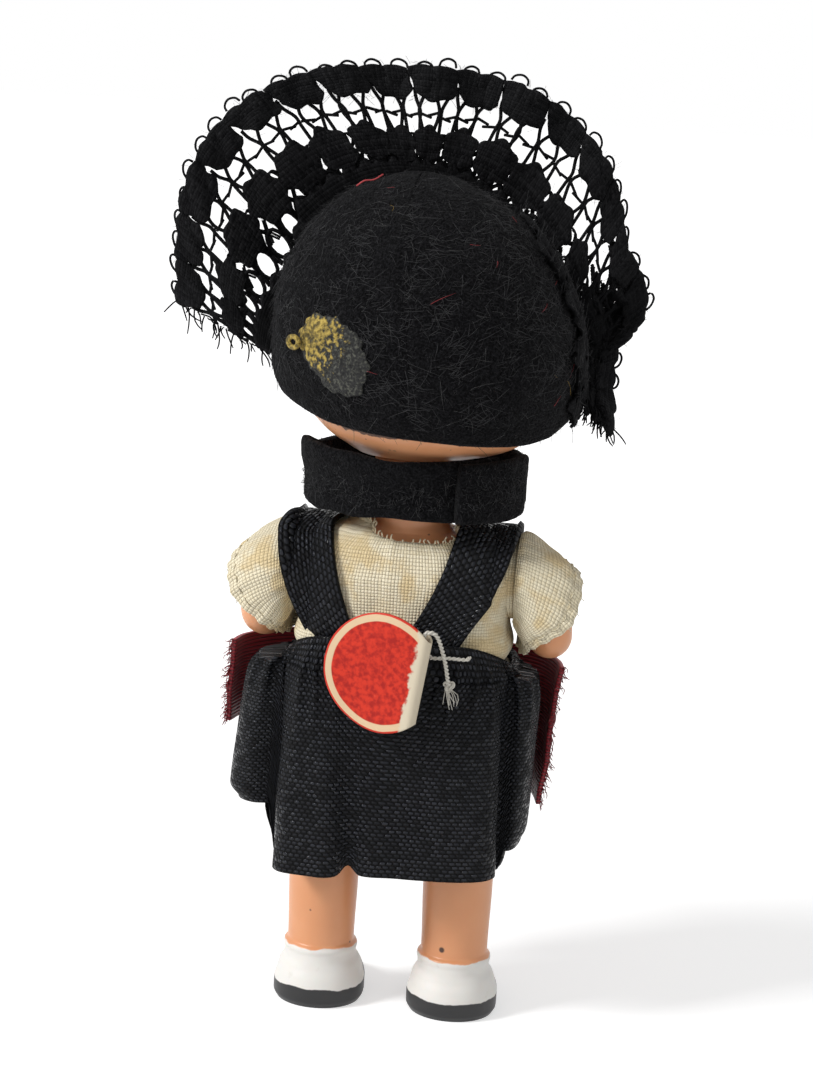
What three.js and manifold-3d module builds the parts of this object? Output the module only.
// A small souvenir doll in a folk costume, standing on its own feet. Millimetres, +Z up.
// The doll faces -Y and its left side is +X. The origin is on the floor, under the middle of its box.
import * as THREE from "three";
import { mergeVertices } from "three/addons/utils/BufferGeometryUtils.js";
import Module from "manifold-3d";

const wasm = await Module();
wasm.setup();

// Driving dimensions: fits
const fitGap = 0.3; // between pieces that lie on each other
const runGap = 0.4; // between pieces that turn past each other

// Driving dimensions: moulded body
const wall = 1.2; // moulded plastic wall
const hipHeight = 33; // floor to the leg axis
const legSpacing = 16.4; // between the middles of the two legs
const hipBlockWidth = 9; // narrow part of the torso between the legs
const hipBlockDepth = 11;
const thighRadius = 5; // round head of the leg about the hip axis
const kneeRadius = 4.2;
const calfBulge = 0.3; // the calf stands out behind
const ankleRadius = 4;
const sockHeight = 8.6;
const sockStep = 0.35; // the moulded sock is this much thicker than the ankle
const shoeHeight = 3.4;
const shoeLength = 15.2;
const shoeWidth = 11;
const heelReach = 5.3; // leg axis to the back of the shoe
const soleRound = 0.4; // rounded edge under the shoe
const hipToShoulder = 21;
const hipWidth = 21;
const waistWidth = 20;
const chestWidth = 22.5;
const shoulderWidth = 25;
const torsoDepth = 14.4;
const shoulderToNeck = 5.3; // shoulder axis to the foot of the neck
const neckRadius = 4.6;
const neckLength = 8.2;
const neckKnobRadius = 6.4; // keeps the head on the neck
const neckKnobHeight = 1.4;
const headWidth = 31.8;
const headDepth = 30.4;
const headHeight = 30.8;
const cheekHeight = 12.8; // bottom of the head to its widest level
const headSway = { bottom: -1.6, top: 0.8 }; // sideways shift of the head's form, to the left if positive
const noseRadius = 1.5;
const headTurn = 10; // degrees, towards the doll's left

// Driving dimensions: arms and the elastic that holds the limbs on
const armRadius = 4.2; // round shoulder of the arm about its axis
const elbowRadius = 2.6;
const wristRadius = 2.3;
const handLength = 6.4;
const handThickness = 3.6;
const elbowOut = 4.5; // inner face of the arm to the elbow, sideways
const elbowDrop = 7;
const forearmLength = 10;
const forearmInward = 2.6;
const forearmDrop = 0.3;
const pegRadius = 2.3; // peg of a limb in its hole
const pegNeckRadius = 1.4; // groove for the elastic
const pegButton = 0.8; // thickness of the peg's end
const pegButtonRadius = 1.9;
const armPegExtra = 1.8; // the arm's peg reaches deeper past the curved wall
const elasticRadius = 0.5;

// Driving dimensions: costume
const clothThickness = 0.6; // blouse and sleeves
const ribbonThickness = 0.7; // skirt, straps and apron
const feltThickness = 1.5;
const blouseBelowWaist = 7;
const neckline = 1.1; // foot of the neck down to the blouse's edge
const backSlit = 3.4; // depth of the neck opening at the back
const sleeveEase = 0.7; // inside of the sleeve's seam to the arm
const sleeveHemRadius = 5;
const sleevePuff = 0.75;
const sleeveHemOut = 3.5; // shoulder seam to the middle of the hem, sideways
const sleeveHemDrop = 5.8;
const sleeveHemLean = { side: 0.473, front: 0.71 }; // the hem opens outwards, forwards and down
const strapWidth = 6.6;
const strapTopOffset = 10; // mid-plane to the middle of a strap on the shoulder
const strapBackOffset = { left: 6.8, right: 2.4 }; // the same at the waist behind
const strapFrontOffset = 5.6;
const waistAboveHip = 10.2;
const headingHeight = 2.6; // skirt above its gathering thread
const headingFlare = 0.3;
const headingDip = 0.7; // share of the heading lost at the sides, under the arms
const skirtLength = 24.6; // gathering thread to the hem behind
const waistFullness = 0.3; // the gathers stand out at the sides of the waist
const skirtHalfWidth = 13.2; // back and front panels at the hem
const skirtHalfDepth = 11.2;
const pleatReach = { left: 19.4, right: 17.6 }; // mid-plane to the outside of a side pleat
const pleatTuck = 1.3; // valley between a panel and a side pleat
const pleatRise = { left: 7, right: 2.4 }; // the hem of a side pleat hangs higher
const pleatTaper = { left: -0.1, right: 0.45 }; // share of a pleat's reach lost from waist to hem
const hemTilt = 1.3; // the hem rises from left to right
const hemFold = 1.1; // fold at the back of the hem
const waistThreadRadius = 0.25;
const apronLength = 20;
const apronHalfWidth = { left: 21, right: 19.2 };
const apronRise = { left: 8, right: 1 }; // the lower edge rises towards its sides
const apronSideDrop = 1.9; // the apron's top edge falls towards its sides
const bandHeight = 6.6;
const bandWidth = 28;
const bandDepth = 25;
const bandLap = 35; // degrees by which the ends of the neck band overlap
const bandLapAngle = 32; // degrees from the back to the outer end
const capGap = 0.45; // inside of the cap to the head
const capBackRise = 3.4; // bottom of the head to the cap's edge behind
const capFrontRise = 19; // the edge over the forehead lies this much higher
const capPeak = 0.6;
const laceHalfWidth = 26.8;
const laceSetback = { side: 1.5, top: 7 }; // cap's edge to the lace's seam
const laceShift = 2.4; // the frill sits to the left of the face
const laceTopRise = 45.1; // bottom of the head to the top of the lace
const laceMiddleRise = 21.5; // the same to the lace's widest level
const laceThickness = 0.6;
const lacePitch = 6; // one repeat of the lace
const laceLean = -8.6; // the outer edge's place in front of the neck axis
const laceSpan = { left: 100, right: 126 }; // degrees from the top to the ends
const laceFlap = { reach: 3.2, from: 85, length: 20 }; // the right end is bent outwards over these degrees
const laceRuffle = 0.8;
const patchRadius = 4.2;
const patchRise = 12.9; // bottom of the head to the middle of the patch
const patchAngle = 36; // degrees from the back of the cap
const labelRadius = 7;
const labelThickness = 0.35;
const labelFold = 4.1; // middle of the label to its crease
const labelRise = 0.7; // gathering thread to the middle of the label
const labelOffset = 0.3; // to the doll's left
const labelRoll = 8; // degrees
const labelTurn = 14; // degrees, the crease stands off the skirt
const threadRadius = 0.28;

// Levels and places that follow from the driving dimensions
const hipAxis = new THREE.Vector3(hipBlockWidth / 2 + fitGap, 0, hipHeight);
const blockTop = hipHeight + thighRadius + runGap;
const waistLevel = hipHeight + waistAboveHip;
const shoulderHeight = hipHeight + hipToShoulder;
const chestLevel = (waistLevel + shoulderHeight) / 2;
const neckFoot = shoulderHeight + shoulderToNeck;
const headBottom = neckFoot + neckLength;
const headMiddle = headBottom + cheekHeight;
const capBackEdge = headBottom + capBackRise;
const laceTop = headBottom + laceTopRise;
const laceMiddle = headBottom + laceMiddleRise;
const patchHeight = headBottom + patchRise;
const labelHeight = waistLevel + labelRise;
const armFace = shoulderWidth / 2 + fitGap;
const sleeveFace = shoulderWidth / 2 + fitGap + clothThickness + fitGap;
const capGrow = capGap + feltThickness;
const deg = Math.PI / 180;

// Colours of the pieces
const finish = (color, roughness) => new THREE.MeshStandardMaterial({ color, roughness, metalness: 0 });
const skin = finish("#dfa27c", 0.42);
const blackFelt = finish("#16161a", 0.95);
const blackRibbon = finish("#1b1c20", 0.6);
const blackLace = finish("#0f0f12", 0.9);
const creamCotton = finish("#e2d8ba", 0.9);
const crimsonRibbon = finish("#7d1024", 0.55);
const redPaper = finish("#cf2a20", 0.7);
const whiteThread = finish("#dad6c8", 0.85);
const rubber = finish("#b9a583", 0.8);
const gold = new THREE.MeshStandardMaterial({ color: "#b3912f", roughness: 0.35, metalness: 0.7 });

// General helpers

function closedGeometry(positions, triangles) {
  // Faces are turned round together if they enclose a negative volume.
  const corner = (i) => new THREE.Vector3().fromArray(positions, 3 * i);
  let volume = 0;
  for (let i = 0; i < triangles.length; i += 3) {
    volume += corner(triangles[i]).dot(corner(triangles[i + 1]).cross(corner(triangles[i + 2])));
  }
  const index = volume < 0 ? triangles.slice().reverse() : triangles;
  const geometry = new THREE.BufferGeometry();
  geometry.setAttribute("position", new THREE.Float32BufferAttribute(positions, 3));
  geometry.setIndex(index);
  return geometry;
}

function loft(rings, joined = false) {
  // A skin through rings of equally many points, with its ends closed or joined to each other.
  const count = rings[0].length;
  const positions = rings.flat().flatMap((p) => p.toArray());
  const triangles = [];
  const spans = joined ? rings.length : rings.length - 1;
  for (let r = 0; r < spans; r++) {
    const here = r * count;
    const next = ((r + 1) % rings.length) * count;
    for (let i = 0; i < count; i++) {
      const j = (i + 1) % count;
      triangles.push(here + i, here + j, next + j, here + i, next + j, next + i);
    }
  }
  if (!joined) {
    closeEnd(positions, triangles, rings[0], 0, true);
    closeEnd(positions, triangles, rings[rings.length - 1], (rings.length - 1) * count, false);
  }
  return closedGeometry(positions, triangles);
}

function closeEnd(positions, triangles, ring, first, isStart) {
  const middle = ring.reduce((sum, p) => sum.add(p), new THREE.Vector3()).divideScalar(ring.length);
  const hub = positions.length / 3;
  positions.push(...middle.toArray());
  for (let i = 0; i < ring.length; i++) {
    const a = first + i;
    const b = first + ((i + 1) % ring.length);
    triangles.push(hub, isStart ? b : a, isStart ? a : b);
  }
}

function slab(columns, thickness) {
  // A sheet from a grid of points, thickened along its own normals: columns[i][j] are points.
  const across = columns.length;
  const along = columns[0].length;
  const at = (i, j) => columns[Math.min(Math.max(i, 0), across - 1)][Math.min(Math.max(j, 0), along - 1)];
  const shifted = (i, j, side) => {
    const u = at(i + 1, j).clone().sub(at(i - 1, j));
    const v = at(i, j + 1).clone().sub(at(i, j - 1));
    return at(i, j).clone().addScaledVector(u.cross(v).normalize(), side);
  };
  const rings = columns.map((column, i) => [
    ...column.map((p, j) => shifted(i, j, 0)),
    ...column.map((p, j) => shifted(i, along - 1 - j, thickness)),
  ]);
  return loftSheet(rings);
}

function loftSheet(rings) {
  // As loft, but each end ring is a flat ribbon of pairs: its far half runs back over its near half.
  const count = rings[0].length;
  const positions = rings.flat().flatMap((p) => p.toArray());
  const triangles = [];
  for (let r = 0; r < rings.length - 1; r++) {
    for (let i = 0; i < count; i++) {
      const j = (i + 1) % count;
      const here = r * count;
      const next = here + count;
      triangles.push(here + i, here + j, next + j, here + i, next + j, next + i);
    }
  }
  for (let i = 0; i < count / 2 - 1; i++) {
    const far = count - 1 - i;
    const end = (rings.length - 1) * count;
    triangles.push(i, far, i + 1, i + 1, far, far - 1);
    triangles.push(end + i, end + i + 1, end + far, end + i + 1, end + far - 1, end + far);
  }
  return closedGeometry(positions, triangles);
}

function solidOf(geometry) {
  const bare = new THREE.BufferGeometry();
  bare.setAttribute("position", geometry.getAttribute("position").clone());
  bare.setIndex(geometry.getIndex() ? geometry.getIndex().clone() : null);
  const merged = mergeVertices(bare, 1e-4);
  const triVerts = new Uint32Array(merged.getIndex().array);
  const vertProperties = merged.getAttribute("position").array;
  return new wasm.Manifold(new wasm.Mesh({ numProp: 3, vertProperties, triVerts }));
}

function geometryOf(solid) {
  const mesh = solid.getMesh();
  const geometry = new THREE.BufferGeometry();
  geometry.setAttribute("position", new THREE.BufferAttribute(new Float32Array(mesh.vertProperties), 3));
  geometry.setIndex(new THREE.BufferAttribute(new Uint32Array(mesh.triVerts), 1));
  return geometry;
}

function turned(profile, sides) {
  // A solid turned about the X axis from [x, radius] pairs.
  const points = profile.map(([x, r]) => new THREE.Vector2(r, x));
  const geometry = new THREE.LatheGeometry(points, sides);
  geometry.rotateZ(-Math.PI / 2);
  return solidOf(geometry);
}

function turnedTo(axis) {
  // The turn that brings the Y axis to the given direction.
  const up = new THREE.Vector3(0, 1, 0);
  return new THREE.Quaternion().setFromUnitVectors(up, axis.clone().normalize());
}

function rod(from, to, radius, sides) {
  const axis = to.clone().sub(from);
  const geometry = new THREE.CylinderGeometry(radius, radius, axis.length(), sides);
  geometry.applyQuaternion(turnedTo(axis));
  geometry.translate(...from.clone().add(to).multiplyScalar(0.5).toArray());
  return solidOf(geometry);
}

function ball(centre, radii, sides) {
  const geometry = new THREE.SphereGeometry(1, sides, Math.round(sides / 2));
  geometry.scale(...radii);
  geometry.translate(...centre.toArray());
  return solidOf(geometry);
}

function capsule(from, to, startRadius, endRadius, sides) {
  // Two balls and the cone that touches both.
  const axis = to.clone().sub(from);
  const length = axis.length();
  const lean = Math.asin((startRadius - endRadius) / length);
  const arc = (radius, offset, low, high, steps) =>
    Array.from({ length: steps + 1 }, (_, i) => {
      const angle = low + ((high - low) * i) / steps;
      return new THREE.Vector2(Math.abs(radius * Math.cos(angle)), offset + radius * Math.sin(angle));
    });
  const foot = arc(startRadius, 0, -Math.PI / 2, lean, 4);
  const top = arc(endRadius, length, lean, Math.PI / 2, 4);
  const profile = [...foot, ...top];
  profile[0].x = 0;
  profile[profile.length - 1].x = 0;
  const geometry = new THREE.LatheGeometry(profile, sides);
  geometry.applyQuaternion(turnedTo(axis));
  geometry.translate(...from.toArray());
  return solidOf(geometry);
}

function tube(points, radius, sides, steps) {
  const outline = new THREE.Shape().absarc(0, 0, radius, 0, 2 * Math.PI);
  const path = new THREE.CatmullRomCurve3(points);
  const options = { steps, curveSegments: sides / 2, extrudePath: path, bevelEnabled: false };
  return new THREE.ExtrudeGeometry(outline, options);
}

function hoop(path, radius, sides, steps) {
  // A closed ring of round section along path(angle), standing up along Z and out from the middle.
  const rings = Array.from({ length: steps }, (_, i) => {
    const centre = path((2 * Math.PI * i) / steps);
    const out = path((2 * Math.PI * i) / steps + 1e-3).sub(path((2 * Math.PI * i) / steps - 1e-3));
    const side = new THREE.Vector3(out.y, -out.x, 0).normalize();
    return Array.from({ length: sides }, (__, k) => {
      const turn = (2 * Math.PI * k) / sides;
      const up = new THREE.Vector3(0, 0, radius * Math.sin(turn));
      return centre.clone().addScaledVector(side, radius * Math.cos(turn)).add(up);
    });
  });
  return loft(rings, true);
}

const smooth = (t) => {
  const s = Math.min(Math.max(t, 0), 1);
  return s * s * (3 - 2 * s);
};

const doll = new THREE.Group();
const headGroup = new THREE.Group();
headGroup.rotation.z = headTurn * deg;
doll.add(headGroup);

function addPiece(group, name, geometry, material) {
  const mesh = new THREE.Mesh(geometry, material);
  mesh.name = name;
  group.add(mesh);
  return mesh;
}

function addPair(name, solid, material) {
  // A left piece and its mirror image on the right.
  addPiece(doll, `left_${name}`, geometryOf(solid), material);
  addPiece(doll, `right_${name}`, geometryOf(solid.mirror([1, 0, 0])), material);
}

// Torso, with its neck and knob

const torsoStations = [
  { z: blockTop, width: hipWidth, depth: torsoDepth },
  { z: waistLevel, width: waistWidth, depth: torsoDepth * 0.97 },
  { z: chestLevel, width: chestWidth, depth: torsoDepth * 1.03 },
  { z: shoulderHeight, width: shoulderWidth, depth: torsoDepth },
  { z: shoulderHeight + shoulderToNeck * 0.56, width: shoulderWidth * 0.87, depth: torsoDepth * 0.88 },
  { z: shoulderHeight + shoulderToNeck * 0.87, width: shoulderWidth * 0.67, depth: torsoDepth * 0.75 },
  { z: neckFoot, width: 2 * neckRadius + 1, depth: 2 * neckRadius + 0.6 },
];

function torsoSize(z) {
  // Half width and half depth of the torso at a height, straight between the stations.
  const last = torsoStations.length - 1;
  const upper = torsoStations.findIndex((station) => station.z >= z);
  const k = upper < 0 ? last : Math.max(upper, 1);
  const [low, high] = [torsoStations[k - 1], torsoStations[k]];
  const share = Math.min(Math.max((z - low.z) / (high.z - low.z), 0), 1);
  const mix = (a, b) => (a + (b - a) * share) / 2;
  return { halfWidth: mix(low.width, high.width), halfDepth: mix(low.depth, high.depth) };
}

const bodyRound = 2.8; // sides flatter than an ellipse's

function squared(angle) {
  // Unit point on a squarish oval, at an angle from +X.
  const power = 2 / bodyRound;
  const [c, s] = [Math.cos(angle), Math.sin(angle)];
  return new THREE.Vector2(Math.sign(c) * Math.abs(c) ** power, Math.sign(s) * Math.abs(s) ** power);
}

function bodyRing(z, grow, sides) {
  const { halfWidth, halfDepth } = torsoSize(z);
  return Array.from({ length: sides }, (_, i) => {
    const angle = (2 * Math.PI * i) / sides;
    const oval = squared(angle);
    return new THREE.Vector3((halfWidth + grow) * oval.x, (halfDepth + grow) * oval.y, z);
  });
}

function bodySkin(grow, bottom, top, sides = 28) {
  // The torso's outer form, grown evenly, between two heights. Its top moves up or down with it.
  const between = torsoStations.map((station) => station.z).filter((z) => z > bottom && z < top);
  const levels = [bottom, ...between, top];
  return solidOf(
    loft(
      levels.map((z) => {
        const ring = bodyRing(z, grow, sides);
        const lift = z > shoulderHeight ? (grow * (z - shoulderHeight)) / shoulderToNeck : 0;
        return ring.map((p) => p.setZ(z + lift));
      }),
    ),
  );
}

function hipBlock(inset) {
  const height = blockTop - hipHeight + thighRadius + wall;
  const geometry = new THREE.BoxGeometry(hipBlockWidth - 2 * inset, hipBlockDepth - 2 * inset, height - inset);
  geometry.translate(0, 0, hipHeight - thighRadius + (height + inset) / 2);
  return solidOf(geometry);
}

function makeTorso() {
  const outer = bodySkin(0, blockTop, neckFoot).add(hipBlock(0));
  const inner = bodySkin(-wall, blockTop + wall, neckFoot - wall).add(hipBlock(wall));
  const neckTop = headBottom + 2 * wall + runGap;
  const neck = rod(new THREE.Vector3(0, 0, neckFoot - wall), new THREE.Vector3(0, 0, neckTop), neckRadius, 24);
  const knobTop = neckTop + neckKnobHeight;
  const knob = rod(new THREE.Vector3(0, 0, neckTop), new THREE.Vector3(0, 0, knobTop), neckKnobRadius, 24);
  const reach = shoulderWidth;
  const sideAt = (x, z) => new THREE.Vector3(x, 0, z);
  const holeAt = (z) => rod(sideAt(-reach, z), sideAt(reach, z), pegRadius + fitGap, 20);
  return outer.subtract(inner).subtract(holeAt(shoulderHeight)).subtract(holeAt(hipHeight)).add(neck).add(knob);
}

addPiece(doll, "torso", geometryOf(makeTorso()), skin);

// Limbs, each with a peg that reaches through the torso's wall

const elasticGroove = 2 * elasticRadius + 2 * fitGap;

function peg(face, extra) {
  // Boss in the wall, groove for the elastic, and button, from the limb's face inwards.
  const boss = face - fitGap - wall - extra;
  const groove = boss - elasticGroove;
  const end = groove - pegButton;
  const overlap = face + wall;
  return turned(
    [
      [end, 0],
      [end, pegButtonRadius],
      [groove, pegButtonRadius],
      [groove, pegNeckRadius],
      [boss, pegNeckRadius],
      [boss, pegRadius],
      [overlap, pegRadius],
      [overlap, 0],
    ],
    12,
  );
}

function legRing({ z, width, front, back, out }, sides = 20) {
  return Array.from({ length: sides }, (_, i) => {
    const angle = (2 * Math.PI * i) / sides;
    const reach = Math.sin(angle) > 0 ? back : front;
    return new THREE.Vector3(out + width * Math.cos(angle), reach * Math.sin(angle), z);
  });
}

function makeLeg() {
  const middle = legSpacing / 2;
  const toe = shoeLength - heelReach;
  const half = shoeWidth / 2;
  const sock = ankleRadius + sockStep;
  const thighHalf = (middle + thighRadius * 0.9 - hipAxis.x) / 2;
  const thighMiddle = hipAxis.x + thighHalf;
  const thighLow = thighRadius * 0.92; // reach of the thigh below the hip
  const thighHigh = thighRadius * 0.96;
  const knee = sockHeight + (hipHeight - sockHeight) * 0.55;
  const calf = sockHeight + (hipHeight - sockHeight) * 0.3;
  const stations = [
    { z: 0, width: half - soleRound, front: toe - soleRound, back: heelReach - soleRound, out: middle },
    { z: soleRound * 2, width: half, front: toe, back: heelReach, out: middle },
    { z: shoeHeight * 0.65, width: half, front: toe, back: heelReach, out: middle },
    { z: shoeHeight, width: half * 0.95, front: toe * 0.9, back: heelReach * 0.96, out: middle },
    { z: shoeHeight * 1.35, width: half * 0.9, front: toe * 0.68, back: sock * 1.06, out: middle },
    { z: (shoeHeight + sockHeight) / 2, width: sock, front: sock * 1.15, back: sock * 1.02, out: middle },
    { z: sockHeight, width: sock, front: sock, back: sock, out: middle },
    { z: sockHeight + sockStep, width: ankleRadius, front: ankleRadius, back: ankleRadius, out: middle },
    { z: calf, width: kneeRadius, front: kneeRadius, back: kneeRadius + calfBulge, out: middle },
    { z: knee, width: kneeRadius, front: kneeRadius, back: kneeRadius + calfBulge / 2, out: middle },
    { z: hipHeight - thighRadius, width: thighHalf, front: thighLow, back: thighLow, out: thighMiddle },
    { z: hipHeight, width: thighHalf, front: thighHigh, back: thighHigh, out: thighMiddle },
  ];
  const outer = hipAxis.x + 2 * thighHalf;
  const head = turned(
    [
      [hipAxis.x, 0],
      [hipAxis.x, thighRadius],
      [outer - thighRadius * 0.8, thighRadius],
      [outer - thighRadius * 0.28, thighRadius * 0.78],
      [outer, thighRadius * 0.3],
      [outer, 0],
    ],
    24,
  ).translate([0, 0, hipHeight]);
  const column = solidOf(loft(stations.map((station) => legRing(station))));
  return column.add(head).add(peg(hipAxis.x, 0).translate([0, 0, hipHeight]));
}

addPair("leg", makeLeg(), skin);

const shoulderPoint = new THREE.Vector3(armFace + armRadius * 0.55, 0, shoulderHeight);
const elbowPoint = new THREE.Vector3(armFace + elbowOut, 0, shoulderHeight - elbowDrop);
const wristPoint = new THREE.Vector3(
  elbowPoint.x - forearmInward,
  elbowPoint.y - forearmLength,
  elbowPoint.z - forearmDrop,
);

function makeArm() {
  const shoulder = turned(
    [
      [armFace, 0],
      [armFace, armRadius],
      [armFace + armRadius * 0.2, armRadius],
      [armFace + armRadius * 0.5, armRadius * 0.82],
      [armFace + armRadius * 0.75, armRadius * 0.5],
      [armFace + armRadius * 0.85, 0],
    ],
    16,
  ).translate([0, 0, shoulderHeight]);
  const upperArm = capsule(shoulderPoint, elbowPoint, elbowRadius * 1.02, elbowRadius, 12);
  const forearm = capsule(elbowPoint, wristPoint, elbowRadius, wristRadius, 12);
  const handMiddle = wristPoint.clone().add(new THREE.Vector3(-0.5, -handLength * 0.45, 0.1));
  const hand = ball(handMiddle, [handThickness / 2, handLength / 2, wristRadius], 12);
  const thumbFoot = wristPoint.clone().add(new THREE.Vector3(-handThickness * 0.35, -handLength * 0.2, 0.8));
  const thumbTip = thumbFoot.clone().add(new THREE.Vector3(-0.5, -handLength * 0.3, 1.4));
  const thumb = capsule(thumbFoot, thumbTip, 0.95, 0.75, 8);
  const pegSolid = peg(armFace, armPegExtra).translate([0, 0, shoulderHeight]);
  return shoulder.add(upperArm).add(forearm).add(hand).add(thumb).add(pegSolid);
}

addPair("arm", makeArm(), skin);

// Elastic loops that pull each pair of limbs together

function makeElastic(face, extra, height) {
  const ringX = face - fitGap - wall - extra - elasticGroove / 2;
  const ringRadius = pegNeckRadius + fitGap + elasticRadius;
  const ring = (x) => {
    const rings = Array.from({ length: 14 }, (_, i) => {
      const turn = (2 * Math.PI * i) / 14;
      const out = new THREE.Vector3(0, Math.cos(turn), Math.sin(turn));
      return Array.from({ length: 8 }, (__, k) => {
        const angle = (2 * Math.PI * k) / 8;
        const place = new THREE.Vector3(x + elasticRadius * Math.sin(angle), 0, height);
        return place.addScaledVector(out, ringRadius + elasticRadius * Math.cos(angle));
      });
    });
    return solidOf(loft(rings, true));
  };
  const strand = (side) => {
    const y = side * (ringRadius + elasticRadius);
    const end = ringX + elasticRadius * 0.5;
    const from = new THREE.Vector3(-end, y, height);
    const to = new THREE.Vector3(end, y, height);
    return rod(from, to, elasticRadius * 0.8, 8);
  };
  return ring(ringX).add(ring(-ringX)).add(strand(1)).add(strand(-1));
}

addPiece(doll, "arm_elastic", geometryOf(makeElastic(armFace, armPegExtra, shoulderHeight)), rubber);
addPiece(doll, "leg_elastic", geometryOf(makeElastic(hipAxis.x, 0, hipHeight)), rubber);

// Head and cap, built facing -Y and turned with the head group

const headRound = { above: 2, below: 2.35 };
const headSides = 28;

function headShare(level) {
  // Width of the head at a level from -1, its bottom, to 1, its top, as a share of the widest.
  const power = level > 0 ? headRound.above : headRound.below;
  return (1 - Math.abs(level) ** power) ** (1 / power);
}

function headLevel(z, grow) {
  const half = z > headMiddle ? headHeight - cheekHeight : cheekHeight;
  return (z - headMiddle) / (half + grow);
}

function headPoint(angle, z, grow) {
  // On the head's surface grown by that much. The angle runs from the back towards the left.
  const level = Math.min(Math.max(headLevel(z, grow), -1), 1);
  const share = headShare(level);
  const risen = (z - headBottom) / headHeight;
  const sway = headSway.bottom + (headSway.top - headSway.bottom) * risen;
  const x = (headWidth / 2 + grow) * share * Math.sin(angle);
  const y = (headDepth / 2 + grow) * share * Math.cos(angle);
  return new THREE.Vector3(x + sway, y, z);
}

function headSkin(grow) {
  const height = (level) => headMiddle + level * ((level > 0 ? headHeight - cheekHeight : cheekHeight) + grow);
  const levels = [-0.985, -0.9, -0.75, -0.5, -0.2, 0.15, 0.45, 0.68, 0.84, 0.94, 0.985];
  const ring = (level) =>
    Array.from({ length: headSides }, (_, i) => headPoint((2 * Math.PI * i) / headSides, height(level), grow));
  return solidOf(loft(levels.map(ring)));
}

function makeHead() {
  const noseTip = headPoint(Math.PI, headMiddle - noseRadius, 0);
  const nose = ball(noseTip, [noseRadius, noseRadius * 0.9, noseRadius * 0.8], 10);
  const below = new THREE.Vector3(0, 0, headBottom - wall);
  const above = new THREE.Vector3(0, 0, headMiddle);
  const hole = rod(below, above, neckRadius + runGap, 24);
  return headSkin(0).subtract(headSkin(-wall)).add(nose).subtract(hole);
}

addPiece(headGroup, "head", geometryOf(makeHead()), skin);

function capEdge(angle) {
  // Height of the cap's edge: low at the nape, high over the forehead.
  const front = (1 - Math.cos(angle)) / 2;
  return capBackEdge + capFrontRise * front * front;
}

function makeCap() {
  const levels = [0, 0.15, 0.3, 0.45, 0.58, 0.7, 0.8, 0.88, 0.94, 0.98, 0.995];
  const skinAt = (grow, peak) => {
    const top = headBottom + headHeight + grow;
    return levels.map((share) =>
      Array.from({ length: headSides }, (_, i) => {
        const angle = (2 * Math.PI * i) / headSides;
        const edge = capEdge(angle);
        const point = headPoint(angle, edge + (top - edge) * share, grow);
        return point.setZ(point.z + peak * share ** 6);
      }),
    );
  };
  const outer = skinAt(capGrow, capPeak);
  const inner = skinAt(capGap, 0);
  return loft([...inner.slice().reverse(), ...outer]);
}

addPiece(headGroup, "felt_cap", makeCap(), blackFelt);

// Lace frill: an open net that stands out round the face from the cap's edge

function laceSeat(turn) {
  // Where the lace is sewn to the cap. The turn runs from the top of the face, positive to the left.
  const angle = Math.PI - Math.abs(turn) * 0.78;
  const setback = laceSetback.side + (laceSetback.top - laceSetback.side) * smooth((angle / deg - 100) / 80);
  const seat = capGrow + fitGap + laceThickness;
  return headPoint(turn < 0 ? -angle : angle, capEdge(angle) + setback, seat);
}

function laceRim(turn) {
  // Outer edge of the lace: a squarish arch, with straight ends that swing back.
  const power = 2.5;
  const rise = laceTop - laceMiddle;
  const quarter = Math.PI / 2;
  const size = Math.abs(turn);
  const past = Math.max(size - quarter, 0) / deg;
  const angle = Math.min(size, quarter);
  const bent = Math.min(Math.max((size / deg - laceFlap.from) / laceFlap.length, 0), 1);
  const flap = turn < 0 ? laceFlap.reach * Math.sin(Math.PI * bent) : 0;
  const x = laceHalfWidth * Math.sin(angle) ** (2 / power) + flap - 0.05 * past;
  const z = laceMiddle + rise * Math.max(Math.cos(angle), 0) ** (2 / power) - 0.5 * past;
  const y = laceLean + 0.3 * past;
  return new THREE.Vector3(Math.sign(turn) * x + laceShift, y, z);
}

function makeLace() {
  const fine = 400;
  const start = laceSpan.left * deg;
  const end = -laceSpan.right * deg;
  const rim = Array.from({ length: fine + 1 }, (_, i) => laceRim(start + ((end - start) * i) / fine));
  const along = [0];
  for (let i = 1; i <= fine; i++) along.push(along[i - 1] + rim[i].distanceTo(rim[i - 1]));
  const repeats = Math.round(along[fine] / lacePitch);
  const turnAt = (share) => {
    const wanted = share * along[fine];
    const k = Math.max(along.findIndex((length) => length >= wanted), 1);
    const part = (wanted - along[k - 1]) / (along[k] - along[k - 1]);
    return start + ((end - start) * (k - 1 + part)) / fine;
  };
  const threadShare = 0.16;
  const columnShares = [];
  for (let r = 0; r < repeats; r++) {
    [0, threadShare, 0.5, 0.5 + threadShare].forEach((part) => columnShares.push((r + part) / repeats));
  }
  columnShares.push(1 - threadShare / repeats / 2, 1);
  const rows = [0, 0.24, 0.48, 0.68, 0.86, 1]; // band, open, blocks, open, foot
  const point = (share, row) => {
    const turn = turnAt(share);
    const place = laceRim(turn).lerp(laceSeat(turn), row);
    const wave = laceRuffle * Math.sin(share * repeats * Math.PI) * Math.sin(Math.PI * Math.min(row + 0.35, 1));
    return place.setY(place.y + wave);
  };
  const grid = columnShares.map((share) => rows.map((row) => point(share, row)));
  const isOpen = (c, r) => c % 2 === 1 && c < 4 * repeats && (r === 1 || r === 3);
  return netSheet(grid, isOpen, laceThickness);
}

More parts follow.
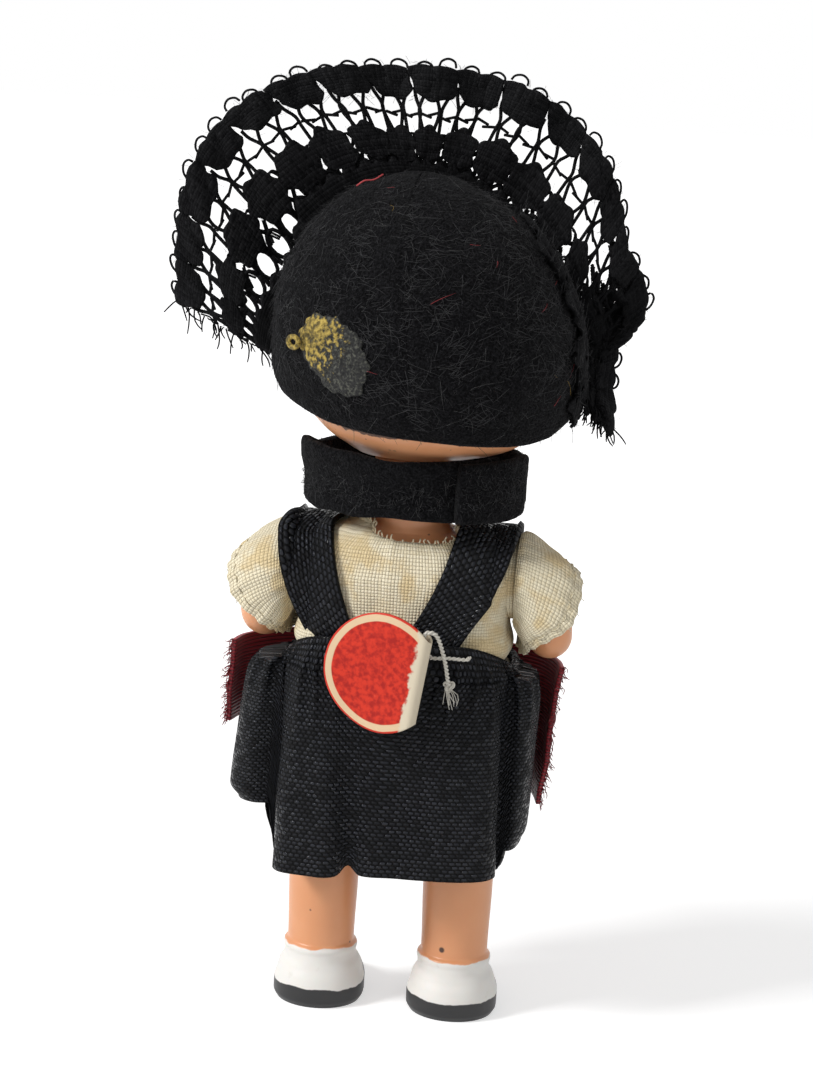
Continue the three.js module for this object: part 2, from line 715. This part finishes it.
function netSheet(grid, isOpen, thickness) {
  // A sheet of cells, some left open, with walls round every opening and round the outside.
  const [columns, rows] = [grid.length, grid[0].length];
  const at = (c, r) => grid[Math.min(Math.max(c, 0), columns - 1)][Math.min(Math.max(r, 0), rows - 1)];
  const positions = [];
  for (const side of [0.5, -0.5]) {
    for (let c = 0; c < columns; c++) {
      for (let r = 0; r < rows; r++) {
        const u = at(c + 1, r).clone().sub(at(c - 1, r));
        const v = at(c, r + 1).clone().sub(at(c, r - 1));
        positions.push(...at(c, r).clone().addScaledVector(u.cross(v).normalize(), side * thickness).toArray());
      }
    }
  }
  const index = (c, r, back) => (back ? columns * rows : 0) + c * rows + r;
  const solid = (c, r) => c >= 0 && r >= 0 && c < columns - 1 && r < rows - 1 && !isOpen(c, r);
  const triangles = [];
  const quad = (a, b, c, d) => triangles.push(a, b, c, a, c, d);
  for (let c = 0; c < columns - 1; c++) {
    for (let r = 0; r < rows - 1; r++) {
      if (!solid(c, r)) continue;
      quad(index(c, r), index(c + 1, r), index(c + 1, r + 1), index(c, r + 1));
      quad(index(c, r, true), index(c, r + 1, true), index(c + 1, r + 1, true), index(c + 1, r, true));
      const wallBetween = (ca, ra, cb, rb) =>
        quad(index(ca, ra, true), index(cb, rb, true), index(cb, rb), index(ca, ra));
      if (!solid(c, r - 1)) wallBetween(c, r, c + 1, r);
      if (!solid(c + 1, r)) wallBetween(c + 1, r, c + 1, r + 1);
      if (!solid(c, r + 1)) wallBetween(c + 1, r + 1, c, r + 1);
      if (!solid(c - 1, r)) wallBetween(c, r + 1, c, r);
    }
  }
  return closedGeometry(positions, triangles);
}

addPiece(headGroup, "lace_frill", makeLace(), blackLace);

// Gold glue patch and bead left on the cap

function patchPoint(radius, turn, grow) {
  const angle = patchAngle * deg + (radius * Math.cos(turn)) / (headWidth / 2);
  return headPoint(angle, patchHeight + radius * Math.sin(turn), grow);
}

function makePatch() {
  const sides = 16;
  const seat = capGrow + fitGap;
  const ring = (radius, grow) =>
    Array.from({ length: sides }, (_, i) => patchPoint(radius, (2 * Math.PI * i) / sides, grow));
  return loft([
    ring(patchRadius * 0.5, seat),
    ring(patchRadius, seat),
    ring(patchRadius, seat + 0.25),
    ring(patchRadius * 0.6, seat + 0.6),
  ]);
}

function makeBead() {
  const place = patchPoint(patchRadius + 1.1, 0.15, capGrow + fitGap + 0.6);
  return geometryOf(ball(place, [0.7, 0.7, 0.5], 10));
}

addPiece(headGroup, "gold_patch", makePatch(), gold);
addPiece(headGroup, "gold_bead", makeBead(), gold);

// Blouse, with an opening at the back of the neck

const blouseGrow = fitGap + clothThickness;

function makeBlouse() {
  const bottom = waistLevel - blouseBelowWaist;
  const low = Math.max(bottom, blockTop + fitGap);
  const top = neckFoot - neckline;
  const outer = bodySkin(blouseGrow, low, top);
  const inner = bodySkin(fitGap, low - wall, top + wall);
  const reach = shoulderWidth;
  const armhole = rod(
    new THREE.Vector3(-reach, 0, shoulderHeight),
    new THREE.Vector3(reach, 0, shoulderHeight),
    armRadius + runGap,
    24,
  );
  const slit = rod(
    new THREE.Vector3(0, 0, neckFoot + fitGap),
    new THREE.Vector3(0, torsoDepth, neckFoot + fitGap),
    backSlit,
    16,
  );
  return outer.subtract(inner).subtract(armhole).subtract(slit);
}

addPiece(doll, "blouse", geometryOf(makeBlouse()), creamCotton);

// Sleeves: puffed tubes from the shoulder seam to the hem

function makeSleeve() {
  const sides = 20;
  const seamRadius = armRadius + sleeveEase + clothThickness;
  const seam = new THREE.Vector3(sleeveFace, 0, shoulderHeight);
  const hem = new THREE.Vector3(sleeveFace + sleeveHemOut, 0, shoulderHeight - sleeveHemDrop);
  const { side, front } = sleeveHemLean;
  const hemAxis = new THREE.Vector3(side, -front, -Math.sqrt(1 - side * side - front * front));
  const hemTurn = new THREE.Quaternion().setFromUnitVectors(new THREE.Vector3(1, 0, 0), hemAxis);
  const ring = (share, inset) => {
    const turn = new THREE.Quaternion().slerp(hemTurn, share ** 1.3);
    const centre = seam.clone().lerp(hem, share);
    centre.z = seam.z + (hem.z - seam.z) * share ** 1.6;
    const puff = sleevePuff * Math.sin(Math.PI * share);
    const radius = seamRadius + (sleeveHemRadius - seamRadius) * share + puff - inset;
    return Array.from({ length: sides }, (_, i) => {
      const angle = (2 * Math.PI * i) / sides;
      const spoke = new THREE.Vector3(0, radius * Math.sin(angle), radius * Math.cos(angle));
      return centre.clone().add(spoke.applyQuaternion(turn));
    });
  };
  const shares = [0, 0.25, 0.5, 0.75, 1];
  const outer = shares.map((share) => ring(share, 0));
  const inner = shares.map((share) => ring(share, clothThickness)).reverse();
  return solidOf(loft([...outer, ...inner], true));
}

addPair("sleeve", makeSleeve(), creamCotton);

// Shoulder straps: ribbon laid over the blouse from the waist behind to the waist in front

const strapPivot = chestLevel + 1;

function bodyReach(x, angle, grow) {
  // Distance from the middle of the chest, at this x, to the grown torso in a direction from straight up.
  let [low, high] = [0, 3 * torsoDepth];
  for (let step = 0; step < 40; step++) {
    const reach = (low + high) / 2;
    const y = reach * Math.sin(angle);
    const z = strapPivot + reach * Math.cos(angle);
    const lift = Math.max(z - shoulderHeight, 0) * (grow / shoulderToNeck);
    const { halfWidth, halfDepth } = torsoSize(z - lift);
    const share = Math.abs(x / (halfWidth + grow)) ** bodyRound + Math.abs(y / (halfDepth + grow)) ** bodyRound;
    const inside = share < 1 && z < neckFoot + grow;
    if (inside) low = reach;
    else high = reach;
  }
  return low;
}

const strapGrow = blouseGrow + fitGap;
const strapArch = armRadius + sleeveEase + clothThickness + runGap; // clears the sleeve as it turns

function makeStrap(backOffset) {
  const steps = 26;
  const across = 5;
  const lowest = waistLevel - 1;
  const limit = Math.atan2(torsoDepth * 0.6, lowest - strapPivot);
  const columns = Array.from({ length: steps + 1 }, (_, i) => {
    const angle = limit * (1 - (2 * i) / steps);
    const offset = angle > 0 ? backOffset : strapFrontOffset;
    const share = Math.cos((angle / limit) * (Math.PI / 2)) ** 1.2;
    const middle = offset + (strapTopOffset - offset) * Math.max(share, 0);
    return Array.from({ length: across }, (__, j) => {
      const x = middle + strapWidth * (j / (across - 1) - 0.5);
      const bodyX = Math.min(x, shoulderWidth / 2 - 2);
      const reach = bodyReach(bodyX, angle, strapGrow);
      const rise = reach * Math.cos(angle) + strapPivot - shoulderHeight;
      const spot = new THREE.Vector3(0, reach * Math.sin(angle), rise);
      if (spot.z > 0 && spot.length() < strapArch) spot.setLength(strapArch);
      return spot.add(new THREE.Vector3(x, 0, shoulderHeight));
    });
  });
  return slab(columns, ribbonThickness);
}

const leftStrap = makeStrap(strapBackOffset.left);
const rightStrap = geometryOf(solidOf(makeStrap(strapBackOffset.right)).mirror([1, 0, 0]));
addPiece(doll, "left_strap", leftStrap, blackRibbon);
addPiece(doll, "right_strap", rightStrap, blackRibbon);

// Skirt: gathered ribbon with a heading above its gathering thread and a pleat at each side

const waistClear = blouseGrow + fitGap + ribbonThickness + fitGap;
const threadGrow = waistClear + waistThreadRadius;
const skirtWaistGrow = waistClear + 2 * waistThreadRadius + fitGap;
const skirtWaist = {
  halfWidth: torsoSize(waistLevel).halfWidth + skirtWaistGrow + ribbonThickness + waistFullness,
  halfDepth: torsoSize(waistLevel).halfDepth + skirtWaistGrow + ribbonThickness,
};

function skirtOutline() {
  // The hem seen from above, as a closed curve from the back round by the left side.
  const w = skirtHalfWidth;
  const d = skirtHalfDepth;
  const pleat = (side, reach) => [
    [side * w * 0.55, d],
    [side * w * 0.9, d * 0.92],
    [side * w, d * 0.74],
    [side * (w - pleatTuck * 0.4), d * 0.5],
    [side * (w + (reach - w) * 0.6), d * 0.52],
    [side * reach, d * 0.28],
    [side * (reach - 0.6), -d * 0.1],
    [side * (w + 0.8), -d * 0.36],
    [side * w, -d * 0.7],
    [side * w * 0.55, -d * 0.97],
  ];
  const left = pleat(1, pleatReach.left);
  const right = pleat(-1, pleatReach.right).reverse();
  const outline = [[w * 0.2, d - hemFold], ...left, [0, -d * 1.02], ...right];
  const curve = new THREE.CatmullRomCurve3(
    outline.map(([x, y]) => new THREE.Vector3(x, y, 0)),
    true,
    "centripetal",
  );
  return curve;
}

function tapered(x, z) {
  // A side pleat, and the apron's end over it, grow narrower or wider towards the hem.
  const beyond = Math.max(Math.abs(x) - skirtHalfWidth, 0);
  const fallen = Math.min(Math.max((waistLevel - z) / skirtLength, 0), 1);
  return x - Math.sign(x) * beyond * pleatTaper[x > 0 ? "left" : "right"] * fallen;
}

function makeSkirt() {
  const sides = 68;
  const hem = skirtOutline().getSpacedPoints(sides).slice(0, sides);
  const hemLevel = waistLevel - skirtLength;
  const levels = [
    { part: -1, z: waistLevel + headingHeight },
    { part: 0, z: waistLevel },
    { part: 0.08 },
    { part: 0.22 },
    { part: 0.5 },
    { part: 0.78 },
    { part: 1 },
  ];
  const outer = levels.map(({ part, z }) =>
    hem.map((p) => {
      const angle = Math.atan2(p.x / skirtHalfWidth, p.y / skirtHalfDepth);
      const flare = part < 0 ? headingFlare : 0;
      const oval = squared(Math.PI / 2 - angle);
      const waistX = (skirtWaist.halfWidth + flare) * oval.x;
      const waistY = (skirtWaist.halfDepth + flare) * oval.y;
      const waist = new THREE.Vector3(waistX, waistY, 0);
      const opened = part > 0 ? part ** 0.35 : 0;
      const rise = pleatRise[p.x > 0 ? "left" : "right"] * smooth((Math.abs(p.x) - skirtHalfWidth) / 1.6);
      const dipped = waistLevel + (z - waistLevel) * (1 - headingDip * oval.x ** 6);
      const tilt = hemTilt * (0.5 - p.x / (2 * skirtHalfWidth));
      const height = part > 0 ? waistLevel + (hemLevel + rise + tilt - waistLevel) * part : dipped;
      const place = waist.lerp(p, opened).setZ(height);
      return place.setX(tapered(place.x, height));
    }),
  );
  const inner = outer.map((ring) =>
    ring.map((p, i) => {
      const along = ring[(i + 1) % sides].clone().sub(ring[(i + sides - 1) % sides]);
      const inward = new THREE.Vector3(along.y, -along.x, 0).normalize();
      return p.clone().addScaledVector(inward, ribbonThickness);
    }),
  );
  return loft([...outer, ...inner.reverse()], true);
}

addPiece(doll, "skirt", makeSkirt(), blackRibbon);

const waistPath = (angle) => {
  const { halfWidth, halfDepth } = torsoSize(waistLevel);
  const oval = squared(Math.PI / 2 - angle);
  return new THREE.Vector3((halfWidth + threadGrow) * oval.x, (halfDepth + threadGrow) * oval.y, waistLevel);
};
addPiece(doll, "waist_thread", hoop(waistPath, waistThreadRadius, 6, 40), whiteThread);

// Apron: a stiff ribbon wrapped round the front, standing out at its ends

function makeApron() {
  const front = skirtHalfDepth * 1.02 + fitGap + ribbonThickness;
  const half = (pleat, end) => [
    [skirtHalfWidth * 0.72, -front + 0.5],
    [(skirtHalfWidth + pleat + 1) / 2, -skirtHalfDepth * 0.78],
    [pleat + fitGap + ribbonThickness - 0.2, -skirtHalfDepth * 0.4],
    [end, -skirtHalfDepth * 0.08],
  ];
  const left = half(pleatReach.left, apronHalfWidth.left);
  const right = half(pleatReach.right, apronHalfWidth.right).map(([x, y]) => [-x, y]);
  const outline = [...right.reverse(), [0, -front - 0.4], ...left];
  const path = new THREE.CatmullRomCurve3(outline.map(([x, y]) => new THREE.Vector3(x, y, 0)));
  const across = 28;
  const top = waistLevel + 2.2;
  const columns = path.getSpacedPoints(across).map((p) => {
    const fall = apronSideDrop * smooth((Math.abs(p.x) - skirtHalfWidth * 0.55) / (skirtHalfWidth * 0.4));
    const side = p.x > 0 ? "left" : "right";
    const rise = apronRise[side] * smooth(Math.abs(p.x) / apronHalfWidth[side]);
    return [0, 0.33, 0.67, 1].map((share) => {
      const z = top - fall - (apronLength - fall - rise) * share;
      return new THREE.Vector3(tapered(p.x, z), p.y * (1 + 0.03 * share), z);
    });
  });
  return slab(columns, -ribbonThickness);
}

addPiece(doll, "apron", makeApron(), crimsonRibbon);

// Felt neck band, lapped at the back

function makeBand() {
  const steps = 44;
  const bottom = neckFoot + strapGrow + ribbonThickness + 2 * fitGap;
  const total = 360 + bandLap;
  const shift = feltThickness + fitGap;
  const edge = (inset) =>
    Array.from({ length: steps + 1 }, (_, i) => {
      const run = (total * i) / steps;
      const shrink = inset + shift * smooth((run - bandLap) / (250 - bandLap));
      const angle = (bandLapAngle + run) * deg;
      const x = -(bandWidth / 2 - shrink) * Math.sin(angle);
      return new THREE.Vector2(x + shift / 3, (bandDepth / 2 - shrink) * Math.cos(angle));
    });
  const outline = new THREE.Shape([...edge(0), ...edge(feltThickness).reverse()]);
  const geometry = new THREE.ExtrudeGeometry(outline, { depth: bandHeight, bevelEnabled: false });
  geometry.translate(0, 0, bottom);
  return geometry;
}

addPiece(doll, "neck_band", makeBand(), blackFelt);

// Paper label, folded over a thread that ties it to the skirt

const foldRadius = threadRadius + fitGap;
const labelGroup = new THREE.Group();
const labelBack = skirtHalfDepth + labelRadius * Math.sin(labelTurn * deg);
labelGroup.position.set(labelOffset, labelBack, labelHeight);
labelGroup.rotation.set(0, -labelRoll * deg, -labelTurn * deg, "ZYX");
doll.add(labelGroup);

function makeLabel() {
  // A strip bent back on itself at the crease, cut round.
  const outerFold = foldRadius + labelThickness;
  const flap = -labelFold + (labelRadius - labelFold);
  const strip = new THREE.Shape();
  strip.moveTo(labelRadius, 2 * outerFold);
  strip.lineTo(-labelFold, 2 * outerFold);
  strip.absarc(-labelFold, outerFold, outerFold, Math.PI / 2, (3 * Math.PI) / 2, false);
  strip.lineTo(flap, 0);
  strip.lineTo(flap, labelThickness);
  strip.lineTo(-labelFold, labelThickness);
  strip.absarc(-labelFold, outerFold, foldRadius, (3 * Math.PI) / 2, Math.PI / 2, true);
  strip.lineTo(labelRadius, 2 * outerFold - labelThickness);
  const geometry = new THREE.ExtrudeGeometry(strip, {
    depth: 2 * labelRadius,
    curveSegments: 6,
    bevelEnabled: false,
  });
  geometry.translate(0, 0, -labelRadius);
  const reach = new THREE.Vector3(0, labelRadius, 0);
  const round = rod(reach.clone().negate(), reach, labelRadius, 36);
  return geometryOf(solidOf(geometry).intersect(round));
}

addPiece(labelGroup, "paper_label", makeLabel(), redPaper);

function makeLabelThread() {
  // Up through the fold, out over its top, and down to a knot on the skirt's gathers.
  labelGroup.updateMatrixWorld(true);
  const crease = (z) => labelGroup.localToWorld(new THREE.Vector3(-labelFold, foldRadius + labelThickness, z));
  const foldEnd = Math.sqrt(labelRadius ** 2 - (labelFold + foldRadius + labelThickness) ** 2);
  const top = crease(foldEnd + threadRadius + 2 * fitGap);
  const knotRadius = 0.5;
  const knot = new THREE.Vector3(top.x - 2.6, skirtWaist.halfDepth + fitGap, waistLevel);
  const route = [
    crease(-foldEnd * 0.4),
    crease(foldEnd * 0.3),
    crease(foldEnd * 0.8),
    top,
    top.clone().add(new THREE.Vector3(-1, -0.3, 0)),
    top.clone().lerp(knot, 0.5).add(new THREE.Vector3(-0.7, 0, 0.6)),
    knot,
  ];
  return solidOf(tube(route, threadRadius, 8, 30)).add(ball(knot, [knotRadius, knotRadius, knotRadius], 10));
}

addPiece(doll, "label_thread", geometryOf(makeLabelThread()), whiteThread);

// The frame's origin is under the middle of the whole doll
doll.updateMatrixWorld(true);
const box = new THREE.Box3().setFromObject(doll, true);
const middle = box.getCenter(new THREE.Vector3());
doll.position.set(-middle.x, -middle.y, -box.min.z);

export default doll;
